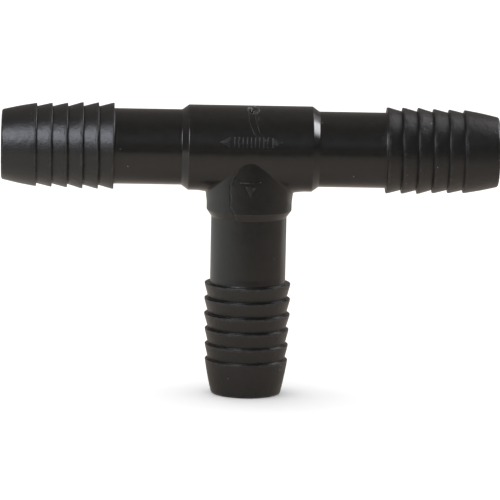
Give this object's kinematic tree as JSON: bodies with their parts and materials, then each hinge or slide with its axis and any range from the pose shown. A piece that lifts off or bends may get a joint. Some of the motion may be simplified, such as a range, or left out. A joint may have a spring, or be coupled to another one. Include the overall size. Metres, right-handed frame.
{
  "type": "barbed tee connector",
  "caption": "Three-way hose fitting with a thick central hub and barbed spigots that push into soft pipe, joining a straight run to a side branch.",
  "frame": {"origin": "where the axes of the straight run and of the branch cross, inside the hub", "axes": "+X along the run, towards the right-hand spigot; -Z along the branch, towards its open end; -Y towards the front, where the raised marks are"},
  "size_m": [0.098, 0.017, 0.0575],
  "materials": {
    "plastic": "moulded black plastic, glossy on the hub and necks, satin on the barbs"
  },
  "bodies": {
    "root": {"hub": "plastic", "left_spigot": "plastic", "right_spigot": "plastic", "branch_spigot": "plastic"}
  },
  "joints": []
}
